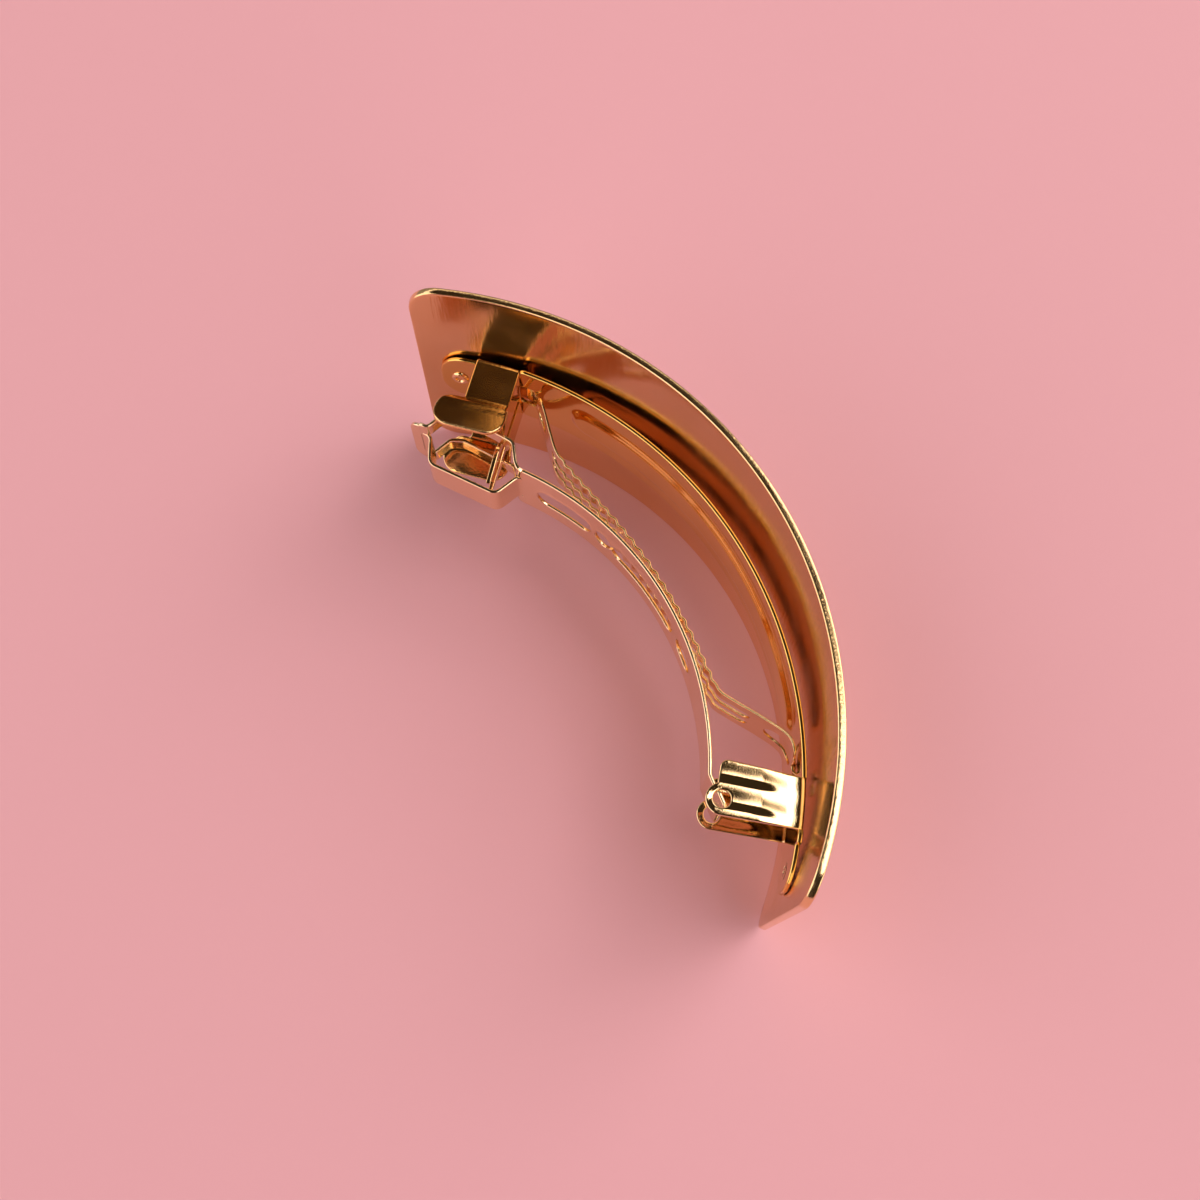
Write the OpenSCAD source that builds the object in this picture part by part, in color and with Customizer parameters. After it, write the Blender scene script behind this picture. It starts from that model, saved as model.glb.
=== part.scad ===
// Curved metal hair barrette with an automatic clasp.
// The curved cover plate stands on one long edge. The origin is in the middle of that
// edge at the crown of the arch, +X runs towards the hinge end, +Y out of the crown and
// +Z across the width of the plate.

/* [Cover plate] */
// Straight distance between the two ends of the plate
plate_chord = 88; // [84:1:94]
// Radius of the plate's outer face
plate_radius = 52.7; // [51:0.1:56]
// Width of the plate, which is its height as it stands
plate_width = 36; // [26:0.5:44]
// Thickness of the plate's sheet
plate_sheet = 1.0; // [0.7:0.05:1.2]
// Radius of the plate's four corners
plate_corner = 4; // [2:0.25:6]

/* [Base bar] */
// Straight distance between the two ends of the bar
bar_chord = 83; // [82:0.25:84]
// Width of the bar between the catch and the hinge
bar_width = 11.2; // [10.8:0.1:12.4]
// Width of the bar's end tongues
bar_end_width = 9; // [7.5:0.25:10]
// Corner radius of the end tongues
bar_corner = 3.5; // [2:0.25:4]
// Thickness of the sheet of the bar, its ears and the catch wings
bar_sheet = 0.6; // [0.45:0.05:0.7]
// Gap between the plate and the crown of the bar
bar_standoff = 1.9; // [1.4:0.1:2.2]
// Width of the raised rib along the bar
rib_width = 5.6; // [4.4:0.2:6.4]
// Height of the raised rib
rib_height = 0.6; // [0.4:0.05:0.7]

/* [Hinge] */
// Angle of the hinge ears round the arch, from its crown
hinge_angle = 42.5; // [41:0.25:43.5]
// Distance from the bar to the pivot
pivot_reach = 9.15; // [8.6:0.05:9.6]
// Width of an ear along the bar
ear_width = 5.6; // [5:0.1:6.2]
// Radius of the lobe round the pivot hole
ear_lobe = 1.95; // [1.75:0.05:2.2]
// Diameter of the pivot hole in an ear
pivot_hole = 2.1; // [1.7:0.05:2.3]
// Radial clearance of the arm's pivot tabs in the ears
pivot_clearance = 0.06; // [0.03:0.01:0.09]

/* [Catch] */
// Angle of the catch round the arch, from its crown
catch_angle = 44; // [43:0.25:45]
// Width of a catch wall along the bar
wall_width = 6; // [5.4:0.1:6.4]
// Length of a catch wall from the bar to its finger pad
wall_reach = 5.8; // [5.4:0.1:6]
// Length of a finger pad along the bar
pad_length = 9.5; // [8.6:0.1:10.4]
// Length of a finger pad away from the bar
pad_reach = 5.2; // [4.9:0.1:5.4]
// How far a finger pad flares out from its wall
pad_flare = 1.3; // [1.1:0.05:1.6]
// Length of the latch hooks, from the bar to the tip
hook_reach = 15.2; // [14.6:0.1:15.6]
// Half width of the pair of latch hooks
hook_half_width = 2.45; // [2.2:0.05:2.5]

/* [Clasp arm] */
// Width of the arm
arm_width = 9.6; // [9:0.1:9.8]
// Thickness of the arm's sheet
arm_sheet = 0.5; // [0.35:0.05:0.55]
// Radius of the arm's arch
arm_radius = 41; // [40:0.1:43]
// Width of the middle band of the eye
band_width = 5.2; // [5.1:0.1:5.6]
// Length of the eye along the arm
eye_length = 14; // [13.4:0.1:14.6]
// How far the middle band bulges away from the bar
band_rise = 3.6; // [3.2:0.1:4]
// How far the side strips bulge towards the bar
strip_rise = 3.45; // [3.2:0.05:3.6]
// Length of the rounded tab at the free end
tab_length = 2.4; // [1.6:0.1:3]
// Width of the long slots in the arm
arm_slot_width = 3.4; // [2.4:0.1:3.8]

/* [Tension bow] */
// Straight distance between the bow's seats in the bar
bow_span = 62.8; // [61.6:0.1:64]
// Width of the bow
bow_width = 8; // [6.6:0.1:8.6]
// Thickness of the bow's spring sheet
bow_sheet = 0.35; // [0.25:0.05:0.4]
// Pitch of the corrugations
wave_pitch = 1.8; // [1.6:0.1:2.4]
// Height of the corrugations, crest to trough
wave_height = 0.28; // [0.2:0.02:0.36]
// Width of each of the two long slots in the bow
bow_slot_width = 1.7; // [1.2:0.1:1.9]

/* [Studs] */
// Shank diameter of the studs that hold the bar to the plate
stud_shank = 1.5; // [1.3:0.1:1.7]
// Diameter of a stud's crimped head
stud_head = 2.5; // [2.3:0.1:2.9]
// Height of a stud's crimped head
stud_head_height = 0.5; // [0.4:0.05:0.7]

/* [Hidden] */
$fn = 96;
overrun = 2;
face_gap = 0.05;
bend_steps = 8;

// Places on the arch: an angle counts from the crown, towards the hinge end
plate_middle = plate_radius - plate_sheet / 2;
plate_inside = plate_radius - plate_sheet;
plate_end_angle = asin(plate_chord / 2 / plate_radius);
middle_z = plate_width / 2;
function turned(p, a) = [p.x * cos(a) + p.y * sin(a), p.y * cos(a) - p.x * sin(a)];
function step_along(p, heading, length) = p + length * [cos(heading), sin(heading)];
module on_arch(a = 0) translate([0, -plate_middle, middle_z]) rotate([0, 0, -a]) children();

// The bar's arc touches the plate near its ends and stands off it at the crown
bar_half = bar_chord / 2;
bar_touch = sqrt(pow(plate_inside - face_gap, 2) - bar_half * bar_half);
bar_crown = plate_inside - bar_standoff;
bar_sagitta = bar_crown - bar_touch;
bar_outside = (bar_half * bar_half + bar_sagitta * bar_sagitta) / (2 * bar_sagitta);
bar_inside = bar_outside - bar_sheet;
bar_centre = bar_crown - bar_outside;
bar_end_angle = asin(bar_half / bar_outside);
function bar_face(a) = bar_centre * cos(a) + sqrt(pow(bar_inside, 2) - pow(bar_centre * sin(a), 2));
function bar_line(x) = bar_centre + sqrt(pow(bar_inside, 2) - x * x);
module on_bar(a = 0) on_arch() translate([0, bar_centre, 0]) rotate([0, 0, -a]) children();

// A bent strip's outline: both sides of a line of points, half the sheet away from it
function unit(v) = v / norm(v);
function side(v) = [-v.y, v.x];
function mitre(p, i) = let (
  before = i > 0 ? unit(p[i] - p[i - 1]) : unit(p[1] - p[0]),
  after = i < len(p) - 1 ? unit(p[i + 1] - p[i]) : before,
  middle = unit(side(before) + side(after))
) middle / (middle * side(before));
function strip_outline(p, sheet) = concat(
  [for (i = [0 : len(p) - 1]) p[i] + mitre(p, i) * sheet / 2],
  [for (i = [len(p) - 1 : -1 : 0]) p[i] - mitre(p, i) * sheet / 2]
);

// The same line with its corners bent to a radius, as far as the stretches allow
function bend(a, b, c, radius) = let (
  u = unit(a - b),
  v = unit(c - b),
  half = acos(u * v) / 2,
  run = min(radius / tan(half), norm(a - b) * share(9 / 20), norm(c - b) * share(9 / 20)),
  centre = b + unit(u + v) * run / cos(half),
  from = b + u * run - centre,
  way = cross(from, b + v * run - centre) > 0 ? 1 : -1
) [for (k = [0 : bend_steps]) centre + turned(from, -way * (180 - 2 * half) * k / bend_steps)];
function bent(p, radius) = [
  for (i = [0 : len(p) - 1]) each (i == 0 || i == len(p) - 1) ? [p[i]] : bend(p[i - 1], p[i], p[i + 1], radius)
];
function share(s) = s;

// A flat shape with rounded corners, round its middle
module rounded_box(length, width, radius) {
  square([length - 2 * radius, width], center = true);
  square([length, width - 2 * radius], center = true);
  for (s = [-1, 1], t = [-1, 1])
    translate([s * (length / 2 - radius), t * (width / 2 - radius)]) circle(radius);
}
module slot_shape(length, width) {
  square([length - width, width], center = true);
  for (s = [-1, 1]) translate([s * (length - width) / 2, 0]) circle(d = width);
}

// A flat shape becomes a cutter or a blank along Y; its X stays X and its Y becomes Z
module along_y(depth) rotate([90, 0, 0]) linear_extrude(depth, center = true) children();

// An arc of sheet round the Z axis, from angle a0 to a1
module arc_sheet(a0, a1, inside, outside, width) {
  rotate([0, 0, 90 - a1]) rotate_extrude(angle = a1 - a0)
    translate([inside, -width / 2]) square([outside - inside, width]);
}

// What is left outside a rounded corner at +X and +Y. The nudge keeps the arc from
// being exactly tangent to the edges.
corner_nudge = 0.02;
module corner_waste(radius) {
  translate([-radius, -radius]) difference() {
    square(radius + overrun);
    circle(radius + corner_nudge);
  }
}
module corner_cutters(half_width, radius, depth) {
  for (t = [0, 1]) mirror([0, 0, t]) translate([0, 0, half_width]) along_y(depth) corner_waste(radius);
}

// Cover plate: one sheet bent to an arc, with rounded corners
module cover_plate() {
  color([0.86, 0.62, 0.34]) difference() {
    on_arch() arc_sheet(-plate_end_angle, plate_end_angle, plate_inside, plate_radius, plate_width);
    for (s = [0, 1]) mirror([s, 0, 0]) on_arch(plate_end_angle) translate([0, plate_middle, 0])
      corner_cutters(plate_width / 2, plate_corner, plate_sheet + overrun);
  }
}

// Raised rib: the sheet is pressed towards the inside of the arch
rib_length = bow_span * share(43 / 50);
rib_half_angle = asin((rib_length - rib_width) / 2 / bar_inside);
module rib_body(inset, height, face) {
  wide = rib_width / 2 - inset;
  narrow = wide - rib_height;
  rotate([0, 0, 90 - rib_half_angle]) rotate_extrude(angle = 2 * rib_half_angle) polygon([
    [face - height, -narrow], [face - height, narrow], [face + face_gap, wide], [face + face_gap, -wide]
  ]);
  for (s = [-1, 1]) rotate([0, 0, -s * rib_half_angle]) translate([0, face + face_gap, 0]) rotate([90, 0, 0])
    cylinder(h = height + face_gap, r1 = wide, r2 = narrow);
}

// Hinge ears, drawn in the ear's own place: X along the bar, Y out of the arch
ear_root = bar_face(hinge_angle);
pivot_x = ear_width * share(1 / 5);
pivot_y = ear_root - pivot_reach;
ear_gap_half = bar_width / 2 - bar_sheet;
ear_heel = ear_lobe * share(1 / 2);
ear_heel_y = pivot_y - ear_lobe * share(2 / 5);
pivot_place = turned([pivot_x, pivot_y], hinge_angle);
module ear_outline() {
  heel_x = -ear_width / 2 - ear_lobe * share(2 / 5);
  difference() {
    union() {
      polygon([
        [-ear_width / 2, ear_root + bar_sheet / 2], [ear_width / 2, ear_root + bar_sheet / 2],
        [pivot_x + ear_lobe, pivot_y], [pivot_x, ear_heel_y],
        [heel_x + ear_heel, ear_heel_y], [heel_x, ear_heel_y + ear_heel]
      ]);
      translate([heel_x + ear_heel, ear_heel_y + ear_heel]) circle(ear_heel);
      translate([pivot_x, pivot_y]) circle(ear_lobe);
    }
    translate([pivot_x, pivot_y]) circle(d = pivot_hole);
  }
}

// Base bar: curved strip with end tongues, rib, bow slots, stud holes and hinge ears
stud_angle = 46.5;
wall_edge = plate_inside * sin(catch_angle) + wall_width / 2 * cos(catch_angle);
tongue_length = (bar_half - wall_edge) / cos(bar_end_angle);
module tongue_cutters(depth) {
  for (t = [0, 1]) mirror([0, 0, t]) translate([0, 0, bar_end_width / 2]) along_y(depth) {
    corner_waste(bar_corner);
    translate([-tongue_length, 0]) square([tongue_length + overrun, bar_width]);
  }
}
bow_half = bow_span / 2;
bow_seats = [-bow_half * share(101 / 100), bow_half * share(197 / 200)];
bow_seat_length = 2.8;
bow_tongue_width = 3.6;
bow_seat_gap = 0.2;
fold_radius = bar_sheet * share(3 / 2);
module fold_waste(a, width) {
  fold_angle = asin(width / 2 / bar_outside);
  for (t = [0, 1]) mirror([0, 0, t]) rotate([0, 0, 90 - a - fold_angle]) rotate_extrude(angle = 2 * fold_angle)
    translate([bar_outside - fold_radius, bar_width / 2 - fold_radius]) difference() {
      square(fold_radius + overrun);
      circle(fold_radius + corner_nudge);
    }
}
function on_bar_angle(p) = atan2(p.x, p.y - bar_centre);
module base_bar() {
  color([0.84, 0.6, 0.33]) difference() {
    union() {
      on_bar() arc_sheet(-bar_end_angle, bar_end_angle, bar_inside, bar_outside, bar_width);
      on_bar() rib_body(0, rib_height, bar_inside);
      for (t = [0, 1]) on_arch(hinge_angle) mirror([0, 0, t])
        translate([0, 0, ear_gap_half]) linear_extrude(bar_sheet) ear_outline();
    }
    on_bar() rib_body(bar_sheet / 2, rib_height, bar_outside);
    for (s = [-1, 1]) on_bar(s * stud_angle) translate([0, bar_outside, 0]) rotate([90, 0, 0])
      cylinder(h = 4 * bar_sheet, d = stud_shank + 2 * face_gap, center = true);
    for (x = bow_seats) on_bar(asin(x / bar_inside)) translate([0, bar_outside, 0]) along_y(4 * bar_sheet)
      rounded_box(bow_seat_length, bow_tongue_width + 2 * bow_seat_gap, bow_seat_gap);
    for (s = [0, 1]) mirror([s, 0, 0]) on_bar(bar_end_angle) translate([0, bar_outside, 0])
      tongue_cutters(4 * bar_sheet);
    on_bar() fold_waste(on_bar_angle(turned([0, ear_root], hinge_angle)), ear_width + bar_sheet);
    on_bar() fold_waste(on_bar_angle(turned([0, wing_root], -catch_angle)), wall_width);
  }
}

// Catch wings, drawn in the catch's own place: X along the bar, Y out of the arch.
// The cross flap folds in from the hinge side of the wall and ends in a barbed hook.
wing_root_gap = 0.12;
wing_fold_radius = 1.2;
wing_root = bar_face(catch_angle);
wall_half_z = bar_width / 2 - bar_sheet / 2;
wall_foot = wing_root - wall_reach;
pad_foot = wall_foot - pad_reach;
pad_shift = -wall_width * share(6 / 25);
pad_corner = pad_reach * share(23 / 50);
flap_inner = bar_sheet * share(5 / 4);
flap_gap = 1;
flap_foot = wing_root - wall_reach - pad_reach * share(12 / 25);
hook_inner = flap_inner * share(9 / 5);
hook_neck = hook_half_width * share(4 / 5);
hook_tip = wing_root - hook_reach;
barb_y = flap_foot - pad_reach * share(9 / 25);
module wing_outline() {
  translate([-wall_width / 2, wall_foot - pad_reach / 2])
    square([wall_width, wall_reach + pad_reach / 2 + overrun]);
  translate([pad_shift, wall_foot - pad_reach / 2]) rounded_box(pad_length, pad_reach, pad_corner);
}
module wing_profile() {
  knee = wall_foot - pad_reach * share(7 / 20);
  polygon(strip_outline(bent([
    [wing_root + overrun, wall_half_z], [wall_foot, wall_half_z],
    [knee, wall_half_z + pad_flare * share(4 / 5)], [pad_foot - overrun, wall_half_z + pad_flare * share(8 / 5)]
  ], wing_fold_radius), bar_sheet));
}
module hook_outline() {
  polygon([
    [wing_root - flap_gap / 3, wall_half_z], [wing_root - flap_gap, flap_inner], [flap_foot, flap_inner],
    [hook_tip, hook_inner], [hook_tip, hook_inner + bar_sheet / 2], [barb_y - bar_sheet, hook_half_width],
    [barb_y, hook_half_width], [barb_y + bar_sheet / 2, hook_neck], [flap_foot, hook_neck],
    [flap_foot + bar_sheet, hook_half_width + bar_sheet], [wall_foot, wall_half_z]
  ]);
}
module wing() {
  intersection() {
    on_arch(-catch_angle) union() {
      intersection() {
        rotate([90, 0, 90]) linear_extrude(2 * pad_length, center = true) wing_profile();
        linear_extrude(plate_width) wing_outline();
      }
      translate([wall_width / 2 - bar_sheet, 0, 0]) rotate([90, 0, 90]) linear_extrude(bar_sheet) hook_outline();
    }
    on_bar() cylinder(h = plate_width, r = bar_inside - wing_root_gap);
  }
}
module catch_wing_upper() {
  color([0.78, 0.52, 0.3]) wing();
}
module catch_wing_lower() {
  color([0.78, 0.52, 0.3]) translate([0, 0, 2 * middle_z]) mirror([0, 0, 1]) wing();
}

// Clasp arm: an arc from the root of the eye to the straight hinge end
eye_tilt = 12;
eye_depth = 13.7;
eye_root = turned([wall_width * share(117 / 100), wing_root - eye_depth], -catch_angle);
hinge_end_length = 3.3;
hinge_end_heading = 170;
arc_foot = step_along(pivot_place, hinge_end_heading, hinge_end_length);
arc_chord = arc_foot - eye_root;
arc_drop = sqrt(arm_radius * arm_radius - (arc_chord * arc_chord) / 4);
arc_centre = (arc_foot + eye_root) / 2 - side(unit(arc_chord)) * arc_drop;
arc_foot_angle = atan2(arc_foot.x - arc_centre.x, arc_foot.y - arc_centre.y);
arc_root_angle = atan2(eye_root.x - arc_centre.x, eye_root.y - arc_centre.y);
function arm_line(x) = arc_centre.y + sqrt(pow(arm_radius + arm_sheet / 2, 2) - pow(x - arc_centre.x, 2));
module on_arm(a = 0) on_arch() translate([arc_centre.x, arc_centre.y, 0]) rotate([0, 0, -a]) children();

// The eye, drawn from its root: -X along the arm to its free end, +Y towards the bar
eye_bend = 1.2;
strip_shares = [
  [-1 / 15, 0], [0.04, 0], [0.1, 0.25], [0.21, 0.93], [0.5, 1], [0.8, 1.05], [0.92, 0.85], [1, 0], [1.08, 0]
];
band_shares = [[-1 / 15, 0], [0.04, 0], [0.15, 1], [0.85, 1], [0.98, 0], [1.08, 0]];
strip_path = bent([for (p = strip_shares) [-p[0] * eye_length, p[1] * strip_rise]], eye_bend);
band_path = bent([for (p = band_shares) [-p[0] * eye_length, -p[1] * band_rise]], eye_bend);
module eye() {
  for (t = [0, 1]) mirror([0, 0, t]) translate([0, 0, band_width / 2])
    linear_extrude((arm_width - band_width) / 2) polygon(strip_outline(strip_path, arm_sheet));
  translate([0, 0, -band_width / 2]) linear_extrude(band_width) polygon(strip_outline(band_path, arm_sheet));
  translate([-eye_length, 0, 0]) along_y(arm_sheet) intersection() {
    rounded_box(2 * tab_length + arm_sheet, arm_width - 2 * arm_sheet, tab_length);
    translate([-tab_length, 0]) square([2 * tab_length + arm_sheet, arm_width], center = true);
  }
}

// Slots along the arm: angle round its arc and length as a share of the arc's radius
arm_slots = [[-23.3, 0.215], [-14.2, 0.07], [-2.2, 0.34], [12.5, 0.11]];
module clasp_arm() {
  color([0.88, 0.62, 0.38]) difference() {
    union() {
      on_arm() arc_sheet(arc_root_angle, arc_foot_angle, arm_radius - arm_sheet / 2,
        arm_radius + arm_sheet / 2, arm_width);
      on_arch() translate([eye_root.x, eye_root.y, 0]) rotate([0, 0, catch_angle - eye_tilt]) eye();
      on_arch() translate([0, 0, -arm_width / 2]) linear_extrude(arm_width)
        polygon(strip_outline([arc_foot, step_along(pivot_place, hinge_end_heading, arm_sheet)], arm_sheet));
      on_arch() translate([pivot_place.x, pivot_place.y, 0]) pivot_tabs();
    }
    for (s = arm_slots) on_arm(s[0]) translate([0, arm_radius, 0]) along_y(6 * arm_sheet)
      slot_shape(s[1] * arm_radius, arm_slot_width);
  }
}
module pivot_tabs() {
  tab_run = pivot_hole - 2 * pivot_clearance;
  tab_tip = bar_width + 2 * face_gap;
  intersection() {
    cylinder(h = tab_tip, d = tab_run, center = true);
    rotate([0, 0, hinge_end_heading]) cube([2 * tab_run, arm_sheet, 2 * tab_tip], center = true);
  }
}

// Tension bow: spring sheet seated at both ends in the bar, corrugated along its middle.
// Each row is a place as a share of half the span and a depth as a share of the crown's.
bow_rows = [
  [-1.04, -0.084], [-0.924, 0.162], [-0.75, 0.6], [-0.64, 0.815], [-0.4, 0.957], [0, 1], [0.376, 0.965],
  [0.545, 0.89], [0.617, 0.734], [0.737, 0.4], [0.842, 0.115], [0.9, 0.05], [0.955, 0.045], [1.01, -0.1]
];
bow_clearance = 0.65;
bow_depth = bar_line(0) - arm_line(0) - bow_clearance;
wave_from = share(-33 / 50);
wave_to = share(14 / 25);
bow_step = wave_pitch / 8;
function slope(r, i) = i == 0 || i == len(r) - 1 ? 0 : (r[i + 1][1] - r[i - 1][1]) / (r[i + 1][0] - r[i - 1][0]);
function row_at(r, x, i = 0) = i >= len(r) - 2 || x < r[i + 1][0] ? i : row_at(r, x, i + 1);
function through(r, x) = let (
  i = row_at(r, x),
  w = r[i + 1][0] - r[i][0],
  t = (x - r[i][0]) / w
) r[i][1] * (2 * t * t * t - 3 * t * t + 1) + slope(r, i) * w * (t * t * t - 2 * t * t + t)
  + r[i + 1][1] * (3 * t * t - 2 * t * t * t) + slope(r, i + 1) * w * (t * t * t - t * t);
function fade(t) = t <= 0 ? 0 : t >= 1 ? 1 : t;
function wave(x) = let (u = x / bow_half)
  fade((u - wave_from) * 15) * fade((wave_to - u) * 15) * wave_height / 2 * sin(360 * x / wave_pitch);
function bow_y(x) = bar_line(x) - bow_depth * through(bow_rows, x / bow_half) + wave(x);
bow_start = bow_rows[0][0] * bow_half;
bow_end = bow_rows[len(bow_rows) - 1][0] * bow_half;
bow_count = ceil((bow_end - bow_start) / bow_step);
bow_path = [for (k = [0 : bow_count]) let (x = bow_start + (bow_end - bow_start) * k / bow_count) [x, bow_y(x)]];
bow_left = -bow_half * share(48 / 50);
bow_right = bow_half * share(47 / 50);
bow_web = 0.9;
bow_slot_pitch = bow_slot_width + bow_web;
module bow_outline() {
  difference() {
    union() {
      translate([(bow_left + bow_right) / 2, 0])
        rounded_box(bow_right - bow_left, bow_width, (bow_width - bow_tongue_width) / 2);
      translate([bow_start - overrun, -bow_tongue_width / 2])
        square([bow_end - bow_start + 2 * overrun, bow_tongue_width]);
    }
    for (t = [-1, 1]) translate([-bow_span * share(1 / 200), t * bow_slot_pitch / 2])
      slot_shape(bow_span * share(7 / 10), bow_slot_width);
    translate([bow_span * share(21 / 50), 0]) slot_shape(bow_span * share(17 / 200), 2 * bow_slot_width);
    translate([-bow_span * share(89 / 200), 0]) slot_shape(bow_span * share(3 / 50), 2 * bow_slot_width);
  }
}
module tension_bow() {
  color([0.8, 0.55, 0.32]) intersection() {
    on_arch() translate([0, 0, -bow_width / 2]) linear_extrude(bow_width) polygon(strip_outline(bow_path, bow_sheet));
    on_arch() along_y(2 * plate_radius) bow_outline();
  }
}

// Studs: a shank from the plate through the bar's tongue, its head closed over the bar
function plate_gap(b) = sqrt(pow(plate_inside, 2) - pow(bar_centre * sin(b), 2))
  - bar_centre * cos(b) - bar_outside;
stud_rim_angle = stud_angle + asin(stud_shank / 2 / bar_outside);
stud_top = bar_outside + plate_gap(stud_rim_angle) - face_gap / 5;
stud_seat = bar_inside - face_gap;
stud_eye = stud_shank * share(3 / 5);
stud_rim = stud_head_height / 2;
module at_stud(b) on_bar(b) translate([0, stud_seat, 0]) rotate([90, 0, 0]) rotate_extrude() children();
module stud_catch_end() {
  color([0.85, 0.62, 0.35]) at_stud(-stud_angle) {
    polygon([
      [0, stud_seat - stud_top], [stud_shank / 2, stud_seat - stud_top], [stud_shank / 2, stud_rim / 2],
      [stud_head / 2 - stud_rim, stud_rim / 2], [stud_head / 2 - stud_rim, 2 * stud_rim],
      [stud_eye / 2 + stud_rim / 2, 2 * stud_rim], [stud_eye / 2, stud_rim], [stud_eye / 2, 0], [0, 0]
    ]);
    translate([stud_head / 2 - stud_rim, stud_rim]) circle(stud_rim);
  }
}
module stud_hinge_end() {
  color([0.85, 0.62, 0.35]) difference() {
    at_stud(stud_angle) polygon([
      [0, stud_seat - stud_top], [stud_shank / 2, stud_seat - stud_top], [stud_shank / 2, 0],
      [stud_head / 2, 0], [stud_head / 2, stud_rim / 2], [stud_head / 2 - stud_rim, 2 * stud_rim],
      [stud_eye / 2, 2 * stud_rim], [0, stud_rim]
    ]);
    for (k = [0 : 2]) on_bar(stud_angle) translate([0, stud_seat - 2 * stud_rim, 0]) rotate([0, 60 * k, 0])
      cube([stud_head, 3 * stud_rim / 2, stud_rim], center = true);
  }
}

cover_plate();
base_bar();
catch_wing_upper();
catch_wing_lower();
clasp_arm();
tension_bow();
stud_catch_end();
stud_hinge_end();
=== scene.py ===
import math

import bmesh
import bpy
import numpy as np
from mathutils import Matrix, Vector


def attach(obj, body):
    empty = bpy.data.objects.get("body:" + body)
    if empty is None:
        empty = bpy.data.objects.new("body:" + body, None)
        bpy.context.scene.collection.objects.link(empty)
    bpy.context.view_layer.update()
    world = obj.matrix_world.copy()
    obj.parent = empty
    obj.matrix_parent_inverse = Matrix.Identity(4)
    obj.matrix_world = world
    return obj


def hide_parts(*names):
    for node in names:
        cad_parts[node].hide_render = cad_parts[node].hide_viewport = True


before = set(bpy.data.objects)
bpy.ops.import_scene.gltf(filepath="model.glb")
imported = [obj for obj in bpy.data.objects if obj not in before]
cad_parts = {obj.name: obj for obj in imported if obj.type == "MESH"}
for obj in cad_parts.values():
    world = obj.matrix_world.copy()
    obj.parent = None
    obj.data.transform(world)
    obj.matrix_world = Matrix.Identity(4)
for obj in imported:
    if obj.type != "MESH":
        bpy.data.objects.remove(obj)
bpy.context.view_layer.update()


# Camera: the clip is photographed from above and from its inner side, as it stands on one long edge.
# The place comes from the plate's edges in the photograph, and the clip's own axes are the scene's.
camera_data = bpy.data.cameras.new("camera")
camera_data.sensor_width = 36.0
camera_data.lens = 34.65
camera_data.clip_start = 0.005
camera_data.clip_end = 20.0
camera = bpy.data.objects.new("camera", camera_data)
bpy.context.scene.collection.objects.link(camera)
camera_place = Vector((0.04110, -0.05005, 0.15749))
looking = Vector((-0.28549, 0.19806, -0.93768)).normalized()
upwards = Vector((-0.80182, 0.48648, 0.34691))
rightwards = looking.cross(upwards).normalized()
upwards = rightwards.cross(looking).normalized()
aim = Matrix((rightwards, upwards, -looking)).transposed()
camera.matrix_world = Matrix.Translation(camera_place) @ aim.to_4x4()
bpy.context.scene.camera = camera


# Cover plate: one sheet of plated metal, about 1 mm thick, cut with rounded corners, polished and
# rolled to an arc. It is made flat here and a bending tree rolls it, as the maker's rollers do.
MM = 0.001
# CROWN is the height of the plate's middle surface over the centre of its arc, in millimetres, and
# MIDDLE is the height of the clip's middle line over the table.
CROWN = 52.2
MIDDLE = 18.0


def box_field(x, y, cx, cy, half_x, half_y, corner):
    """Signed distance to a rectangle with rounded corners, negative inside."""
    qx = np.abs(x - cx) - (half_x - corner)
    qy = np.abs(y - cy) - (half_y - corner)
    outside = np.hypot(np.maximum(qx, 0), np.maximum(qy, 0))
    return outside + np.minimum(np.maximum(qx, qy), 0) - corner


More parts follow.
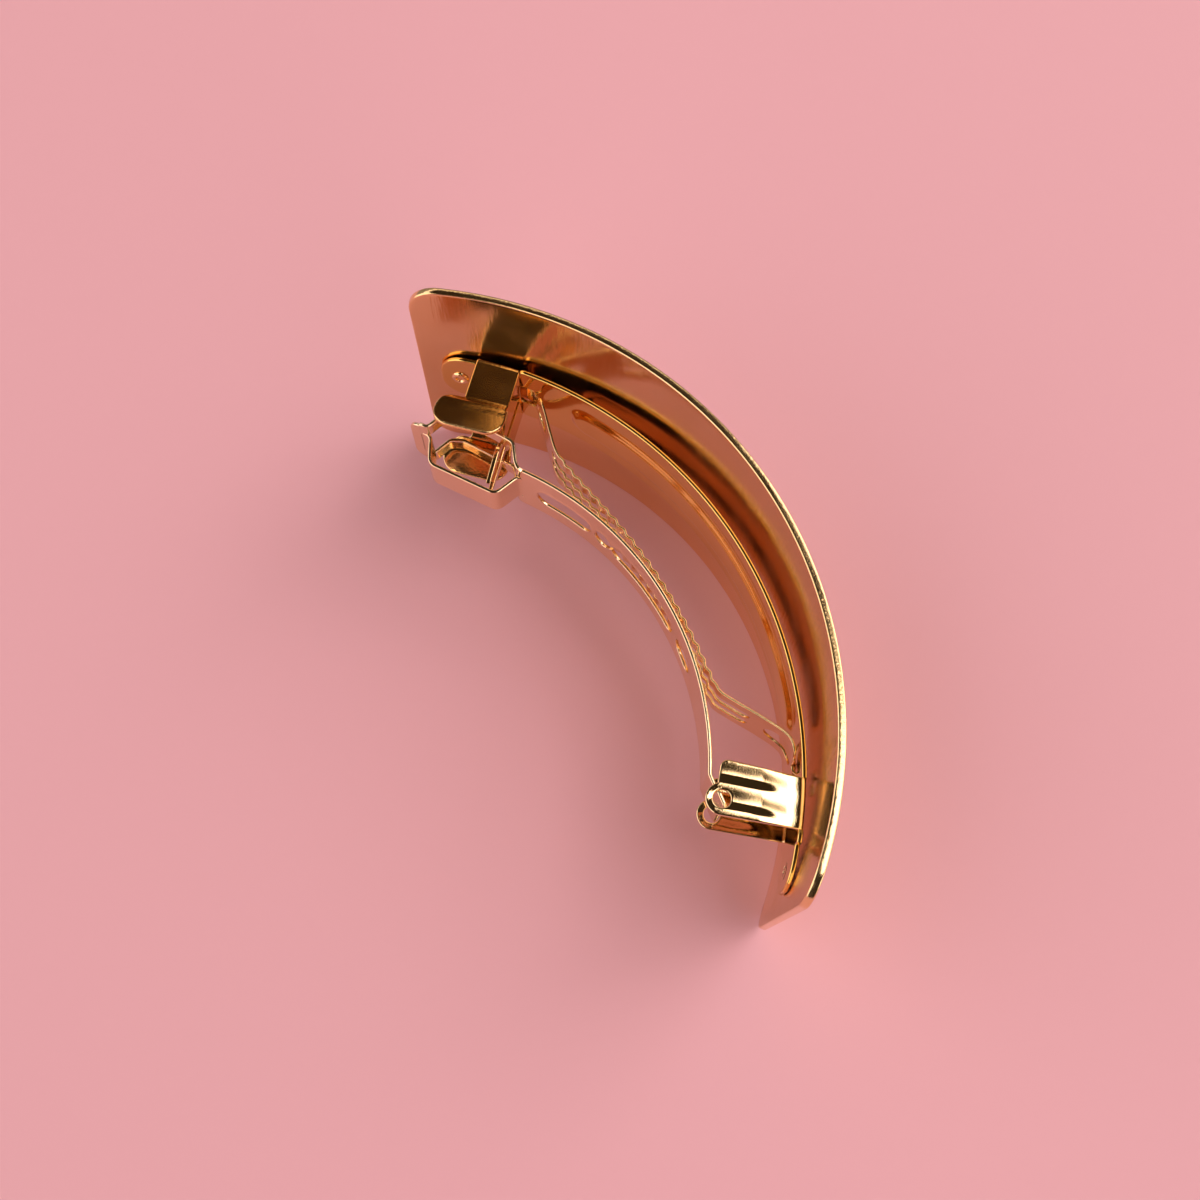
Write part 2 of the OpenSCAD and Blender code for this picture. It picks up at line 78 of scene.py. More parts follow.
def blank(outline, low, high, pitch, edge):
    """Cuts a flat blank as a mesh of cells whose rim lies inside the outline by the edge's rounding.
    Gives the points, the faces, the way straight out of the sheet at each point, and the rounding."""
    def field(a, b):
        return outline(a, b) + edge

    nu = max(2, int(round((high[0] - low[0]) / pitch)) + 1)
    nv = max(2, int(round((high[1] - low[1]) / pitch)) + 1)
    u, v = np.meshgrid(np.linspace(low[0], high[0], nu), np.linspace(low[1], high[1], nv), indexing="ij")
    tiny = pitch * 1e-3
    step = max(u[1, 0] - u[0, 0], v[0, 1] - v[0, 0])

    def slope(a, b):
        along = field(a + tiny, b) - field(a - tiny, b)
        across = field(a, b + tiny) - field(a, b - tiny)
        return along / (2 * tiny), across / (2 * tiny)

    # Points close to the rim are drawn onto it in two passes, so that few cells are cut small.
    on_line = np.zeros(u.shape, bool)
    for reach in (0.5, 0.3):
        s = field(u, v)
        gu, gv = slope(u, v)
        size = np.maximum(np.hypot(gu, gv), 1e-6)
        near = (np.abs(s) < reach * step) | on_line
        u = np.where(near, u - s * gu / size ** 2, u)
        v = np.where(near, v - s * gv / size ** 2, v)
        on_line |= near
    s = field(u, v)
    on_line &= np.abs(s) < 0.05 * step
    s = np.where(on_line, 0.0, s).ravel()
    flat_u, flat_v = u.ravel(), v.ravel()
    number = np.arange(nu * nv).reshape(nu, nv)
    cells = np.stack([number[:-1, :-1], number[1:, :-1], number[1:, 1:], number[:-1, 1:]], -1).reshape(-1, 4)
    held = s[cells] <= 0
    faces = cells[held.all(1)].tolist()

    # A cell across the rim keeps its inner part. The cut on each of its sides is found by halving.
    cuts = {}
    for cell in cells[held.any(1) & ~held.all(1)].tolist():
        shape = []
        for a, b in zip(cell, cell[1:] + cell[:1]):
            if s[a] <= 0:
                shape.append(a)
            if (s[a] < 0 < s[b]) or (s[b] < 0 < s[a]):
                shape.append(nu * nv + cuts.setdefault((min(a, b), max(a, b)), len(cuts)))
        if len(shape) > 2:
            faces.append(shape)
    if cuts:
        first, second = np.array(list(cuts)).T
        inside = np.where(s[first] < 0, first, second)
        outside = np.where(s[first] < 0, second, first)
        run_u, run_v = flat_u[outside] - flat_u[inside], flat_v[outside] - flat_v[inside]
        low_t, high_t = np.zeros(len(first)), np.ones(len(first))
        halvings = 22
        for _ in range(halvings):
            t = (low_t + high_t) / 2
            within = field(flat_u[inside] + t * run_u, flat_v[inside] + t * run_v) < 0
            low_t, high_t = np.where(within, t, low_t), np.where(within, high_t, t)
        flat_u = np.concatenate([flat_u, flat_u[inside] + low_t * run_u])
        flat_v = np.concatenate([flat_v, flat_v[inside] + low_t * run_v])
        s = np.concatenate([s, np.zeros(len(first))])
    kept = []
    for f in faces:
        if all(s[i] == 0 for i in f):
            if field(flat_u[f].mean(keepdims=True), flat_v[f].mean(keepdims=True))[0] > 0:
                continue
        kept.append(f)
    used = sorted({i for f in kept for i in f})
    renumber = {old: new for new, old in enumerate(used)}
    faces = [[renumber[i] for i in f] for f in kept]
    points = np.stack([flat_u[used], flat_v[used]], 1)
    gu, gv = slope(points[:, 0], points[:, 1])
    size = np.maximum(np.hypot(gu, gv), 1e-6)
    return points, faces, np.stack([gu / size, gv / size], 1), edge


def sheet_mesh(cut, thickness, place, butt=None, raise_by=None):
    """Gives a blank its thickness and rounded edges, and puts it in place. place takes the two
    coordinates on the sheet and the height over its middle. Where butt holds, the edge stays square."""
    points, faces, straight_out, edge = cut
    sides = set()
    for f in faces:
        sides.update(zip(f, f[1:] + f[:1]))
    rim = [(a, b) for a, b in sides if (b, a) not in sides]
    rim_points = sorted({i for side in rim for i in side})
    out = np.zeros_like(points)
    out[rim_points] = straight_out[rim_points]
    square = np.zeros(len(points), bool)
    if butt is not None:
        rim_u, rim_v = (points + out * edge).T
        square = butt(rim_u, rim_v) & (np.hypot(*out.T) > 0.5)
    half = thickness / 2
    turns = [math.radians(t) for t in (0, 22.5, 45, 67.5, 90)]
    layers = []
    for way, turn in [(1, t) for t in turns] + [(-1, t) for t in reversed(turns)]:
        moved = points + out * (edge * np.where(square, 1.0, math.sin(turn)))[:, None]
        drop = edge * np.where(square, 0.0, 1 - math.cos(turn))
        lift = raise_by(moved[:, 0], moved[:, 1]) if raise_by else 0.0
        layers.append(place(moved[:, 0], moved[:, 1], lift + way * (half - drop)))
    spot = {p: k for k, p in enumerate(rim_points)}
    n, m, last = len(points), len(rim_points), len(layers) - 1
    coords = [layers[0], layers[last]] + [layers[k][rim_points] for k in range(1, last)]
    rings = [rim_points]
    rings += [[2 * n + k * m + spot[p] for p in rim_points] for k in range(last - 1)]
    rings.append([n + p for p in rim_points])
    all_faces = [list(f) for f in faces] + [[n + i for i in reversed(f)] for f in faces]
    for a, b in rim:
        for upper, lower in zip(rings, rings[1:]):
            all_faces.append([upper[spot[b]], upper[spot[a]], lower[spot[a]], lower[spot[b]]])
    return np.concatenate(coords), all_faces


def solid_piece(name, parts):
    """Joins the parts, each points in millimetres and faces, into one object of the scene."""
    mesh = bpy.data.meshes.new(name)
    coords, faces, start = [], [], 0
    for part_points, part_faces in parts:
        coords.append(part_points)
        faces += [[i + start for i in f] for f in part_faces]
        start += len(part_points)
    mesh.from_pydata((np.concatenate(coords) * MM).tolist(), [], faces)
    outwards = bmesh.new()
    outwards.from_mesh(mesh)
    bmesh.ops.recalc_face_normals(outwards, faces=outwards.faces)
    outwards.to_mesh(mesh)
    outwards.free()
    for polygon in mesh.polygons:
        polygon.use_smooth = True
    mesh.set_sharp_from_angle(angle=math.radians(26))
    piece = bpy.data.objects.new(name, mesh)
    bpy.context.scene.collection.objects.link(piece)
    return piece


def maths(tree):
    """Gives a function that adds a Math node to the tree, fed by sockets or by plain numbers."""
    def work(kind, a, b=0.0, clamp=False):
        node = tree.nodes.new("ShaderNodeMath")
        node.operation = kind
        node.use_clamp = clamp
        for value, socket in zip((a, b), node.inputs):
            if isinstance(value, (int, float)):
                socket.default_value = value
            else:
                tree.links.new(value, socket)
        return node.outputs[0]
    return work


def start_tree(name, labels):
    """Starts a Geometry Nodes tree for a flat sheet, with named inputs. Gives the tree, its inputs
    and the three coordinates of the sheet's points."""
    tree = bpy.data.node_groups.new(name, "GeometryNodeTree")
    face = tree.interface
    face.new_socket("Sheet", in_out="INPUT", socket_type="NodeSocketGeometry")
    for label in labels:
        face.new_socket(label, in_out="INPUT", socket_type="NodeSocketFloat")
    face.new_socket("Metal", in_out="INPUT", socket_type="NodeSocketMaterial")
    face.new_socket("Sheet", in_out="OUTPUT", socket_type="NodeSocketGeometry")
    given = tree.nodes.new("NodeGroupInput")
    where = tree.nodes.new("GeometryNodeInputPosition")
    split = tree.nodes.new("ShaderNodeSeparateXYZ")
    tree.links.new(where.outputs[0], split.inputs[0])
    return tree, given.outputs, split.outputs


def end_tree(tree, given, kind, coordinates):
    """Ends the tree: the points get the coordinates as their Position or as an Offset, where None is
    0, and the sheet gets its metal."""
    nodes, links = tree.nodes, tree.links
    join = nodes.new("ShaderNodeCombineXYZ")
    for value, socket in zip(coordinates, join.inputs):
        if value is not None:
            links.new(value, socket)
    move = nodes.new("GeometryNodeSetPosition")
    real = nodes.new("GeometryNodeRealizeInstances")
    metal = nodes.new("GeometryNodeSetMaterial")
    made = nodes.new("NodeGroupOutput")
    links.new(given["Sheet"], move.inputs["Geometry"])
    links.new(join.outputs[0], move.inputs[kind])
    links.new(move.outputs[0], real.inputs[0])
    links.new(real.outputs[0], metal.inputs["Geometry"])
    links.new(given["Metal"], metal.inputs["Material"])
    links.new(metal.outputs[0], made.inputs[0])
    return tree


def rolling_tree():
    """Geometry Nodes: rolls a flat sheet, lying along X with Z across it, round an arc's centre."""
    tree, given, at = start_tree("roll the sheet", ("Middle radius", "Centre Y", "Lift"))
    work = maths(tree)
    angle = work("DIVIDE", at[0], given["Middle radius"])
    radius = work("ADD", at[1], given["Middle radius"])
    across = work("MULTIPLY", radius, work("SINE", angle))
    out = work("ADD", work("MULTIPLY", radius, work("COSINE", angle)), given["Centre Y"])
    up = work("ADD", at[2], given["Lift"])
    return end_tree(tree, given, "Position", (across, out, up))


def run_tree(piece, tree, values):
    """Runs a tree on the piece with named inputs and keeps the result as a plain mesh."""
    modifier = piece.modifiers.new("shape", "NODES")
    modifier.node_group = tree
    for item in tree.interface.items_tree:
        if item.in_out == "INPUT" and item.name in values:
            modifier[item.identifier] = values[item.name]
    depsgraph = bpy.context.evaluated_depsgraph_get()
    shaped = bpy.data.meshes.new_from_object(piece.evaluated_get(depsgraph))
    piece.modifiers.clear()
    piece.data = shaped


def gold(name, colour, deep, rough, drawn=(1, 1, 1), line=0.0, grain=900.0, buckle=(1, 1, 1), wave=0.0,
         wave_scale=70.0, turn=0.0):
    """Bright gold plating: base colour drifting between two golds, roughness that varies with haze,
    fine lines drawn out along the sheet, and the slow waviness of a pressed sheet, in the bump."""
    tone_scale, haze_scale = 90.0, 160.0
    line_depth, wave_depth = 0.00002, 0.0004
    metal = bpy.data.materials.new(name)
    metal.use_nodes = True
    nodes, links = metal.node_tree.nodes, metal.node_tree.links
    shader = nodes["Principled BSDF"]
    shader.inputs["Metallic"].default_value = 1.0
    place = nodes.new("ShaderNodeTexCoord")

    def noise(scale, detail, stretch=(1, 1, 1)):
        mapping = nodes.new("ShaderNodeMapping")
        mapping.vector_type = "TEXTURE"
        mapping.inputs["Rotation"].default_value = (0, 0, turn)
        mapping.inputs["Scale"].default_value = stretch
        links.new(place.outputs["Object"], mapping.inputs["Vector"])
        texture = nodes.new("ShaderNodeTexNoise")
        texture.inputs["Scale"].default_value = scale
        texture.inputs["Detail"].default_value = detail
        links.new(mapping.outputs[0], texture.inputs["Vector"])
        return texture.outputs[0]

    def bump(strength, depth, height):
        node = nodes.new("ShaderNodeBump")
        node.inputs["Strength"].default_value = strength
        node.inputs["Distance"].default_value = depth
        links.new(height, node.inputs["Height"])
        return node

    ramp = nodes.new("ShaderNodeValToRGB")
    for element, position, tone in zip(ramp.color_ramp.elements, (0.25, 0.75), (deep, colour)):
        element.position = position
        element.color = (*tone, 1.0)
    links.new(noise(tone_scale, 3.0), ramp.inputs[0])
    links.new(ramp.outputs[0], shader.inputs["Base Color"])
    haze = nodes.new("ShaderNodeMapRange")
    haze_range = {"From Min": 0.3, "From Max": 0.75, "To Min": rough[0], "To Max": rough[1]}
    for label, value in haze_range.items():
        haze.inputs[label].default_value = value
    links.new(noise(haze_scale, 5.0), haze.inputs["Value"])
    links.new(haze.outputs[0], shader.inputs["Roughness"])
    lines = bump(line, line_depth, noise(grain, 4.0, drawn))
    slow = bump(wave, wave_depth, noise(wave_scale, 1.0, buckle))
    links.new(lines.outputs[0], slow.inputs["Normal"])
    links.new(slow.outputs[0], shader.inputs["Normal"])
    return metal


plate_radius = 52.7
plate_sheet = 1.0
plate_half_chord = 44.0
plate_half_width = 18.0
plate_corner = 4.0
plate_middle = plate_radius - plate_sheet / 2
plate_half_length = plate_middle * math.asin(plate_half_chord / plate_radius)
plate_metal = gold("plate gold", (0.93, 0.64, 0.34), (0.88, 0.56, 0.26), (0.10, 0.22),
                   drawn=(1, 1, 9), line=1.0, grain=2200.0, wave=0.5)


def plate_field(u, v):
    return box_field(u, v, 0.0, 0.0, plate_half_length, plate_half_width, plate_corner)


def lie_flat(u, v, h):
    """A sheet that is rolled or pressed later lies along X, with Z across it."""
    return np.stack([u, h, v], 1)


plate_blank = blank(plate_field, (-plate_half_length, -plate_half_width),
                    (plate_half_length, plate_half_width), pitch=0.5, edge=0.22)
cover = solid_piece("cover_plate_sheet", [sheet_mesh(plate_blank, plate_sheet, lie_flat)])
roll = rolling_tree()


def roll_round(piece, middle, centre, metal):
    """Rolls a flat piece to an arc whose radius is given at the sheet's middle."""
    run_tree(piece, roll, {"Middle radius": middle * MM, "Centre Y": centre * MM,
                           "Lift": MIDDLE * MM, "Metal": metal})


roll_round(cover, plate_middle, -CROWN, plate_metal)
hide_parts("cover_plate")
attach(cover, "clip")


# Base bar: one pressed strip, plated with the plate. It has a raised rib along it, round-ended
# tongues for the studs, a seat for each end of the bow, and two ears folded up at the hinge.
bar_outside = 54.7257
bar_sheet = 0.6
bar_inside = bar_outside - bar_sheet
bar_middle = bar_outside - bar_sheet / 2
bar_centre = -4.92567
bar_half_width = 5.6
bar_end = math.radians(49.317) * bar_middle
tongue_length = 5.2
tongue_half_width = 4.5
tongue_corner = 3.5
stud_place = math.radians(46.5) * bar_middle
stud_hole = 0.8
bar_metal = gold("bar gold", (0.90, 0.58, 0.20), (0.82, 0.48, 0.13), (0.06, 0.16),
                 drawn=(7, 7, 1), line=0.25, grain=1800.0, wave=0.3)


def along_bar(x):
    """Where a place at X along the clip lies along the bar's own length."""
    return math.asin(x / bar_inside) * bar_middle


ear_turn = math.radians(42.5)
ear_middle = along_bar(50.39 * math.sin(ear_turn))
ear_half = 2.8
wall_turn = math.radians(-44.0)
wing_root = 50.4742
wall_middle = along_bar(wing_root * math.sin(wall_turn))
wall_half = 3.0
fold_start = 4.4
notch_depth = 3.0
notch_gap = 0.05
seats = (along_bar(-31.714), along_bar(30.929))
seat_half_length = 1.4
seat_half_width = 2.0
seat_corner = 0.6


def bar_field(u, v):
    strip = box_field(u, v, 0, 0, bar_end - tongue_length, bar_half_width, 0.4)
    tongues = box_field(u, v, 0, 0, bar_end, tongue_half_width, tongue_corner)
    whole = np.minimum(strip, tongues)
    for middle, half in ((ear_middle, ear_half), (wall_middle, wall_half)):
        notch = box_field(u, np.abs(v), middle, fold_start + notch_depth, half + notch_gap, notch_depth,
                          notch_gap)
        whole = np.maximum(whole, -notch)
    for seat in seats:
        whole = np.maximum(whole, -box_field(u, v, seat, 0, seat_half_length, seat_half_width, seat_corner))
    for side in (-1, 1):
        whole = np.maximum(whole, stud_hole - np.hypot(u - side * stud_place, v))
    return whole


def rib_lift(u, v):
    """The rib is pressed 0.6 mm towards the inside of the arch, with soft shoulders."""
    rib_middle, rib_half_length, rib_half_width = -0.3, 27.3, 2.8
    rib_height, shoulder, spread = 0.6, 1.35, 0.25
    depth = -box_field(u, v, rib_middle, 0, rib_half_length, rib_half_width, rib_half_width)
    t = np.clip((depth + spread) / shoulder, 0, 1)
    return -rib_height * t * t * (3 - 2 * t)


bar_blank = blank(bar_field, (-bar_end, -bar_half_width), (bar_end, bar_half_width), pitch=0.25, edge=0.2)
bar = solid_piece("base_bar_strip", [sheet_mesh(bar_blank, bar_sheet, lie_flat, raise_by=rib_lift)])
roll_round(bar, bar_middle, bar_centre - CROWN, bar_metal)
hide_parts("base_bar")
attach(bar, "clip")


# Hinge ears: two flaps of the bar's own sheet, folded up square at its edges with a small bend
# radius, each ending in a lobe round the pivot hole. The folding tool left shallow folds in them.
def bent_path(points, radius):
    """A line through the points with its corners bent to a radius, and the run along it."""
    steps, nearly_straight = 8, 1.56
    points = [np.array(p, float) for p in points]
    line = [points[0]]
    for a, b, c in zip(points, points[1:], points[2:]):
        u = (a - b) / np.linalg.norm(a - b)
        v = (c - b) / np.linalg.norm(c - b)
        half = math.acos(float(np.clip(u @ v, -1, 1))) / 2
        if half > nearly_straight:
            line.append(b)
            continue
        run = min(radius / math.tan(half), 0.47 * np.linalg.norm(a - b), 0.47 * np.linalg.norm(c - b))
        centre = b + (u + v) / np.linalg.norm(u + v) * run / math.cos(half)
        start, end = b + u * run - centre, b + v * run - centre
        way = math.copysign(1, start[0] * end[1] - start[1] * end[0])
        for k in range(steps + 1):
            t = way * (math.pi - 2 * half) * k / steps
            line.append(centre + np.array([start[0] * math.cos(t) - start[1] * math.sin(t),
                                           start[0] * math.sin(t) + start[1] * math.cos(t)]))
    line.append(points[-1])
    line = np.array(line)
    run = np.concatenate([[0], np.cumsum(np.hypot(*np.diff(line, axis=0).T))])
    return line, run


def on_path(path, s, h):
    """The point at run s along the path, h to its left."""
    line, run = path
    ways = np.diff(line, axis=0)
    ways /= np.maximum(np.hypot(ways[:, 0], ways[:, 1]), 1e-9)[:, None]
    middle = (run[1:] + run[:-1]) / 2
    wx, wy = np.interp(s, middle, ways[:, 0]), np.interp(s, middle, ways[:, 1])
    size = np.hypot(wx, wy)
    over = np.clip(s - run[-1], 0, None)
    under = np.clip(s, None, 0)
    px = np.interp(s, run, line[:, 0]) + wx / size * (over + under)
    py = np.interp(s, run, line[:, 1]) + wy / size * (over + under)
    return px - wy / size * h, py + wx / size * h


def from_arch(angle, x, y, z):
    """From the place at an angle of the plate's arch, X along it and Y out of it, to the scene."""
    return np.stack([x * math.cos(angle) + y * math.sin(angle),
                     y * math.cos(angle) - x * math.sin(angle) - CROWN, z + MIDDLE], 1)


def bar_height(angle, x):
    """Where the bar's middle surface lies at X, in the place at an angle of the plate's arch."""
    return bar_centre * math.cos(angle) + np.sqrt(bar_middle ** 2 - (x + bar_centre * math.sin(angle)) ** 2)


def outline_field(x, y, points):
    """Signed distance to a closed outline of straight sides, negative inside."""
    points = np.asarray(points, float)
    near = np.full(x.shape, 1e9)
    inside = np.zeros(x.shape, bool)
    for a, b in zip(points, np.roll(points, -1, 0)):
        run = b - a
        t = np.clip(((x - a[0]) * run[0] + (y - a[1]) * run[1]) / (run @ run), 0, 1)
        near = np.minimum(near, np.hypot(x - a[0] - t * run[0], y - a[1] - t * run[1]))
        crosses = (a[1] > y) != (b[1] > y)
        rise = run[1] if run[1] else 1e-9
        inside ^= crosses & (x < a[0] + (y - a[1]) / rise * run[0])
    return np.where(inside, -near, near)


# Close to the bar a flap's outline runs on straight, and the edge that meets the bar stays square.
root_run = 1.2
root_fall = 0.3
butt_run = 0.05
pivot_x, pivot_y = 1.12, 41.24
pivot_hole = 1.05
ear_lobe = 1.95
ear_heel = ear_lobe / 2
heel_x = -ear_half - ear_lobe * 2 / 5
heel_y = pivot_y - ear_lobe * 2 / 5
ear_z = 5.3
ear_bend = 0.85
ear_fold = bent_path([(0.0, fold_start), (0.0, ear_z), (-16.0, ear_z)], ear_bend)
above_bar = 60.0
ear_outline = [(-ear_half, above_bar), (ear_half, above_bar), (pivot_x + ear_lobe, pivot_y),
               (pivot_x, heel_y), (heel_x + ear_heel, heel_y), (heel_x, heel_y + ear_heel)]


def ear_field(u, s):
    """u along the bar, s down the folded sheet from where it leaves the bar."""
    fall = np.where(s < root_run, -s * root_fall, on_path(ear_fold, s, np.zeros_like(s))[0])
    y = bar_height(ear_turn, u) + fall
    from_pivot = np.hypot(u - pivot_x, y - pivot_y)
    from_heel = np.hypot(u - heel_x - ear_heel, y - heel_y - ear_heel)
    shape = np.minimum(outline_field(u, y, ear_outline), from_pivot - ear_lobe)
    shape = np.minimum(shape, from_heel - ear_heel)
    return np.maximum(np.maximum(shape, -s), pivot_hole - from_pivot)


def pressed_folds(u, s):
    """The folds run from the lobe up the ear and fade out at both ends."""
    fold_height, fold_pitch, fold_shift = 0.06, 3.0, 1.25
    off_bar = np.clip((s - 2.6) / 3.0, 0, 1)
    off_tip = np.clip((13.0 - s) / 2.0, 0, 1)
    return fold_height * (off_bar * off_tip) * np.sin(2 * math.pi * (u + fold_shift) / fold_pitch)


ear_blank = blank(ear_field, (-4.6, 0.0), (4.6, 14.0), pitch=0.16, edge=0.15)


def ear_side(sign):
    def place(u, s, h):
        fall, z = on_path(ear_fold, s, -h)
        return from_arch(ear_turn, u, bar_height(ear_turn, u) + fall, sign * z)
    return sheet_mesh(ear_blank, bar_sheet, place, butt=lambda u, s: s < butt_run, raise_by=pressed_folds)


ear_metal = gold("ear gold", (0.95, 0.72, 0.42), (0.91, 0.62, 0.32), (0.03, 0.08), line=0.16,
                 grain=7000.0, buckle=(1, 3, 1), wave=0.16, wave_scale=420.0, turn=-ear_turn)
ears = solid_piece("hinge_ears", [ear_side(1), ear_side(-1)])
ears.data.materials.append(ear_metal)
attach(ears, "clip")


# Catch wings: the same sheet folded up at the bar's other end. Each has a wall, a finger pad that
# flares out, and a cross flap folded in from the wall whose barbed hook holds the arm's eye.
wall_reach = 5.8
pad_reach = 5.2
pad_length = 9.5
pad_flare = 1.3
pad_corner = pad_reach * 23 / 50
wall_z = 5.3
wing_bend = 0.7
wall_foot = wing_root - wall_reach
knee = wall_foot - pad_reach * 7 / 20
pad_foot = wall_foot - pad_reach
wing_top = float(bar_height(wall_turn, 0.0))
# Below the wall the sheet jogs out, runs straight down to the knee and flares out to the pad's end.
jog_drop, jog_out = 0.95, 0.75
knee_drop, knee_out = 0.35, 0.85
pad_drop, pad_out = 2.0, pad_flare * 8 / 5
wing_line = [(0.0, fold_start), (0.0, wall_z), (wall_foot - wing_top, wall_z),
             (wall_foot - jog_drop - wing_top, wall_z + jog_out),
             (knee - knee_drop - wing_top, wall_z + knee_out),
             (pad_foot - pad_drop - wing_top, wall_z + pad_out)]
wing_path = bent_path(wing_line, wing_bend)
# By this run down the wall, the bar's slant has gone from it.
straighten = 0.85 + (wing_top - wall_foot) * 0.7


def wing_height(u, s, h):
    """The height along the wing's path, with the bar's slant at its root fading out down the wall."""
    fall, z = on_path(wing_path, s, h)
    slant = (bar_height(wall_turn, u) - wing_top) * np.clip(1 - s / straighten, 0, 1)
    return wing_top + fall + slant, z


def wing_field(u, s):
    """The wall and the pad, joined by a soft blend of their outlines."""
    pad_middle, softness = -36 / 25, 0.5
    y = np.where(s < root_run, wing_top - s * root_fall, wing_height(u, s, np.zeros_like(s))[0])
    wall = box_field(u, y, 0.0, wall_foot + wall_half, wall_half, wall_half + pad_reach / 2, 0.1)
    wall = np.where(y > wall_foot, np.abs(u) - wall_half, wall)
    pad = box_field(u, y, pad_middle, wall_foot - pad_reach / 2, pad_length / 2, pad_reach / 2, pad_corner)
    blend = np.clip(0.5 + 0.5 * (wall - pad) / softness, 0, 1)
    return np.maximum(wall * (1 - blend) + pad * blend - softness * blend * (1 - blend), -s)


wing_blank = blank(wing_field, (-7.2, 0.0), (3.8, 14.0), pitch=0.16, edge=0.16)


def wing_sheet(sign):
    def place(u, s, h):
        y, z = wing_height(u, s, -h)
        return from_arch(wall_turn, u, y, sign * z)
    return sheet_mesh(wing_blank, bar_sheet, place, butt=lambda u, s: s < butt_run)


flap_x = 2.7
flap_inner = 0.75
flap_foot = wall_foot - pad_reach * 12 / 25
hook_inner = flap_inner * 9 / 5
hook_half = 2.45
hook_tip = wing_root - 15.2
barb = flap_foot - pad_reach * 9 / 25
hook_outline = [
    (wing_root - 1 / 3, wall_z), (wing_root - 1.0, flap_inner), (flap_foot, flap_inner),
    (hook_tip, hook_inner), (hook_tip, hook_inner + 0.3), (barb - 0.6, hook_half), (barb, hook_half),
    (barb + 0.3, hook_half * 0.8), (flap_foot, hook_half * 0.8), (flap_foot + 0.6, hook_half + 0.6),
    (wall_foot, wall_z)]
hook_blank = blank(lambda y, z: outline_field(y, z, hook_outline), (34.8, 0.5), (50.6, 5.4),
                   pitch=0.14, edge=0.1)


def hook_flap(sign):
    def place(y, z, h):
        return from_arch(wall_turn, flap_x + h, y, sign * z)
    return sheet_mesh(hook_blank, bar_sheet, place)


wing_metal = gold("wing gold", (0.93, 0.63, 0.32), (0.86, 0.52, 0.22), (0.05, 0.16),
                  drawn=(1, 1, 6), line=0.9, grain=2600.0, wave=0.8)
for wing_body, sign in (("wing_upper", 1), ("wing_lower", -1)):
    wing = solid_piece("catch_" + wing_body + "_sheet", [wing_sheet(sign), hook_flap(sign)])
    wing.data.materials.append(wing_metal)
    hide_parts("catch_" + wing_body)
    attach(wing, wing_body)


# Clasp arm: a strip of thinner sheet, arched, with long slots along its middle and an eye at its
# free end. The eye is lanced: two side strips are pressed up and the middle band down.
arm_sheet = 0.5
arm_half_width = 4.8
arm_radius = 41.0
arm_centre = np.array([1.65339, -3.17279])
eye_root = np.array([-20.4957, 31.3296])
pivot_arc = np.array([28.6882, 29.6499])
foot_run = 3.3
foot = pivot_arc + foot_run * np.array([math.cos(math.radians(170)), math.sin(math.radians(170))])
root_turn = math.atan2(eye_root[0] - arm_centre[0], eye_root[1] - arm_centre[1])
foot_turn = math.atan2(foot[0] - arm_centre[0], foot[1] - arm_centre[1])
arc_line = [arm_centre + arm_radius * np.array([math.sin(a), math.cos(a)])
            for a in np.linspace(root_turn, foot_turn, 90)]
arm_line = np.array(arc_line + [pivot_arc, pivot_arc + (pivot_arc - foot) / foot_run])
arm_run = np.concatenate([[0], np.cumsum(np.hypot(*np.diff(arm_line, axis=0).T))])
pivot_run = arm_run[-2]
pivot_tab_half = 0.99
pivot_tab_reach = 5.65
slot_half_width = 1.7
slot_corner = 1.65
# Each slot's middle is an angle along the arch, and its length is a share of the arch's radius.
arm_slots = ((-23.3, 0.215), (-14.2, 0.07), (-2.2, 0.34), (12.5, 0.11))


def slots_field(s, v):
    """Signed distance to the nearest of the arm's slots, negative inside it."""
    fields = []
    for degrees, share in arm_slots:
        middle = (math.radians(degrees) - root_turn) * arm_radius
        half = share * arm_radius / 2
        fields.append(box_field(s, v, middle, 0, half, slot_half_width, slot_corner))
    return np.minimum.reduce(fields)


def arm_field(s, v):
    """The strip's rounded end lies before its root, where it is cut straight for the eye."""
    past_pivot, past_root = 0.4, 2.0
    half = (pivot_run + past_pivot) / 2
    body = box_field(s, v, half - past_root, 0, half + past_root, arm_half_width, 0.5)
    tabs = box_field(s, v, pivot_run, 0, pivot_tab_half, pivot_tab_reach, 0.15)
    return np.maximum(np.maximum(np.minimum(body, tabs), -s), -slots_field(s, v))


def slot_lips(s, v):
    """The sheet dips a little round each pressed slot."""
    dip, spread = 0.1, 0.7
    return -dip * np.clip(1 - np.maximum(slots_field(s, v), 0) / spread, 0, 1) ** 2


def follow(path):
    """Puts a strip in place with its length along a path that is drawn from the clip's long edge."""
    def place(s, v, h):
        x, y = on_path(path, s, h)
        return np.stack([x, y - CROWN, v + MIDDLE], 1)
    return place


arm_blank = blank(arm_field, (0.0, -pivot_tab_reach), (pivot_run + 1.0, pivot_tab_reach),
                  pitch=0.2, edge=0.16)
arm_parts = [sheet_mesh(arm_blank, arm_sheet, follow((arm_line, arm_run)), butt=lambda s, v: s < butt_run,
                        raise_by=slot_lips)]
# The eye's lines, each a share of its length and a share of the strip's rise.
eye_length = 14.0
strip_rise = 3.45
band_rise = 3.6
strip_shares = [(-1 / 15, 0), (0.04, 0), (0.1, 0.25), (0.21, 0.93), (0.5, 1), (0.8, 1.05), (0.92, 0.85),
                (1, 0), (1.08, 0)]
band_shares = [(-1 / 15, 0), (0.04, 0), (0.15, 1), (0.85, 1), (0.98, 0), (1.08, 0)]
tab_shares = [(1.06, 0), (1.3, 0)]
eye_turn = math.radians(32.0)
eye_bend = 1.3
eye_split = 2.6


